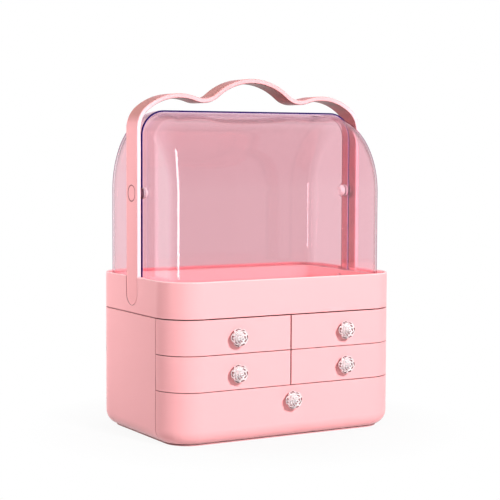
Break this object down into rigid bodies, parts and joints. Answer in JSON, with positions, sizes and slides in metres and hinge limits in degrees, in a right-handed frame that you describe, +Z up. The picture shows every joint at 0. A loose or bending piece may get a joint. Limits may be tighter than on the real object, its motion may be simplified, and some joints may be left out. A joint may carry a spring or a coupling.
{
  "type": "make-up organizer",
  "caption": "Rounded tabletop organizer with a row-stacked set of drawers, an open tray under a clear two-part dome, and a wavy carrying handle.",
  "frame": {"origin": "centre of the flat underside of the base plate, in the plane that the object stands on", "axes": "+Z up, -Y out of the drawers' fronts, +X to the right as seen from the front"},
  "size_m": [0.27, 0.195, 0.3662],
  "materials": {
    "pink": "glossy moulded plastic",
    "clear_pink": "clear pink-tinted moulded plastic, polished",
    "crystal": "clear cast plastic, polished",
    "steel": "bright screw steel"
  },
  "bodies": {
    "body": {"casing": "pink", "base_plate": "pink", "base_screws": "steel", "lower_shelf": "pink", "upper_shelf_left": "pink", "upper_shelf_right": "pink", "centre_divider": "pink", "tray": "pink", "tray_screws": "steel", "handle": "pink", "handle_screws": "steel", "rear_shell": "clear_pink", "pivot_pin_left": "steel", "pivot_pin_right": "steel", "pivot_cap_left": "pink", "pivot_cap_right": "pink", "pivot_spacer_left": "pink", "pivot_spacer_right": "pink", "pivot_washer_left": "clear_pink", "pivot_washer_right": "clear_pink", "pivot_nut_left": "crystal", "pivot_nut_right": "crystal"},
    "lid": {"front_lid": "clear_pink"},
    "drawer_top_left": {"drawer_top_left": "pink", "knob_top_left": "crystal", "knob_screw_top_left": "steel"},
    "drawer_top_right": {"drawer_top_right": "pink", "knob_top_right": "crystal", "knob_screw_top_right": "steel"},
    "drawer_middle_left": {"drawer_middle_left": "pink", "knob_middle_left": "crystal", "knob_screw_middle_left": "steel"},
    "drawer_middle_right": {"drawer_middle_right": "pink", "knob_middle_right": "crystal", "knob_screw_middle_right": "steel"},
    "drawer_bottom": {"drawer_bottom": "pink", "knob_bottom": "crystal", "knob_screw_bottom": "steel"}
  },
  "joints": [
    {"name": "lid_hinge", "type": "hinge", "parent": "body", "child": "lid", "pos_m": [0, 0, 0.248], "axis": [-1, 0, 0], "range_deg": [0, 90]},
    {"name": "drawer_top_left_slide", "type": "slide", "parent": "body", "child": "drawer_top_left", "axis": [0, -1, 0], "range_m": [0, 0.1]},
    {"name": "drawer_top_right_slide", "type": "slide", "parent": "body", "child": "drawer_top_right", "axis": [0, -1, 0], "range_m": [0, 0.1]},
    {"name": "drawer_middle_left_slide", "type": "slide", "parent": "body", "child": "drawer_middle_left", "axis": [0, -1, 0], "range_m": [0, 0.1]},
    {"name": "drawer_middle_right_slide", "type": "slide", "parent": "body", "child": "drawer_middle_right", "axis": [0, -1, 0], "range_m": [0, 0.1]},
    {"name": "drawer_bottom_slide", "type": "slide", "parent": "body", "child": "drawer_bottom", "axis": [0, -1, 0], "range_m": [0, 0.1]}
  ]
}
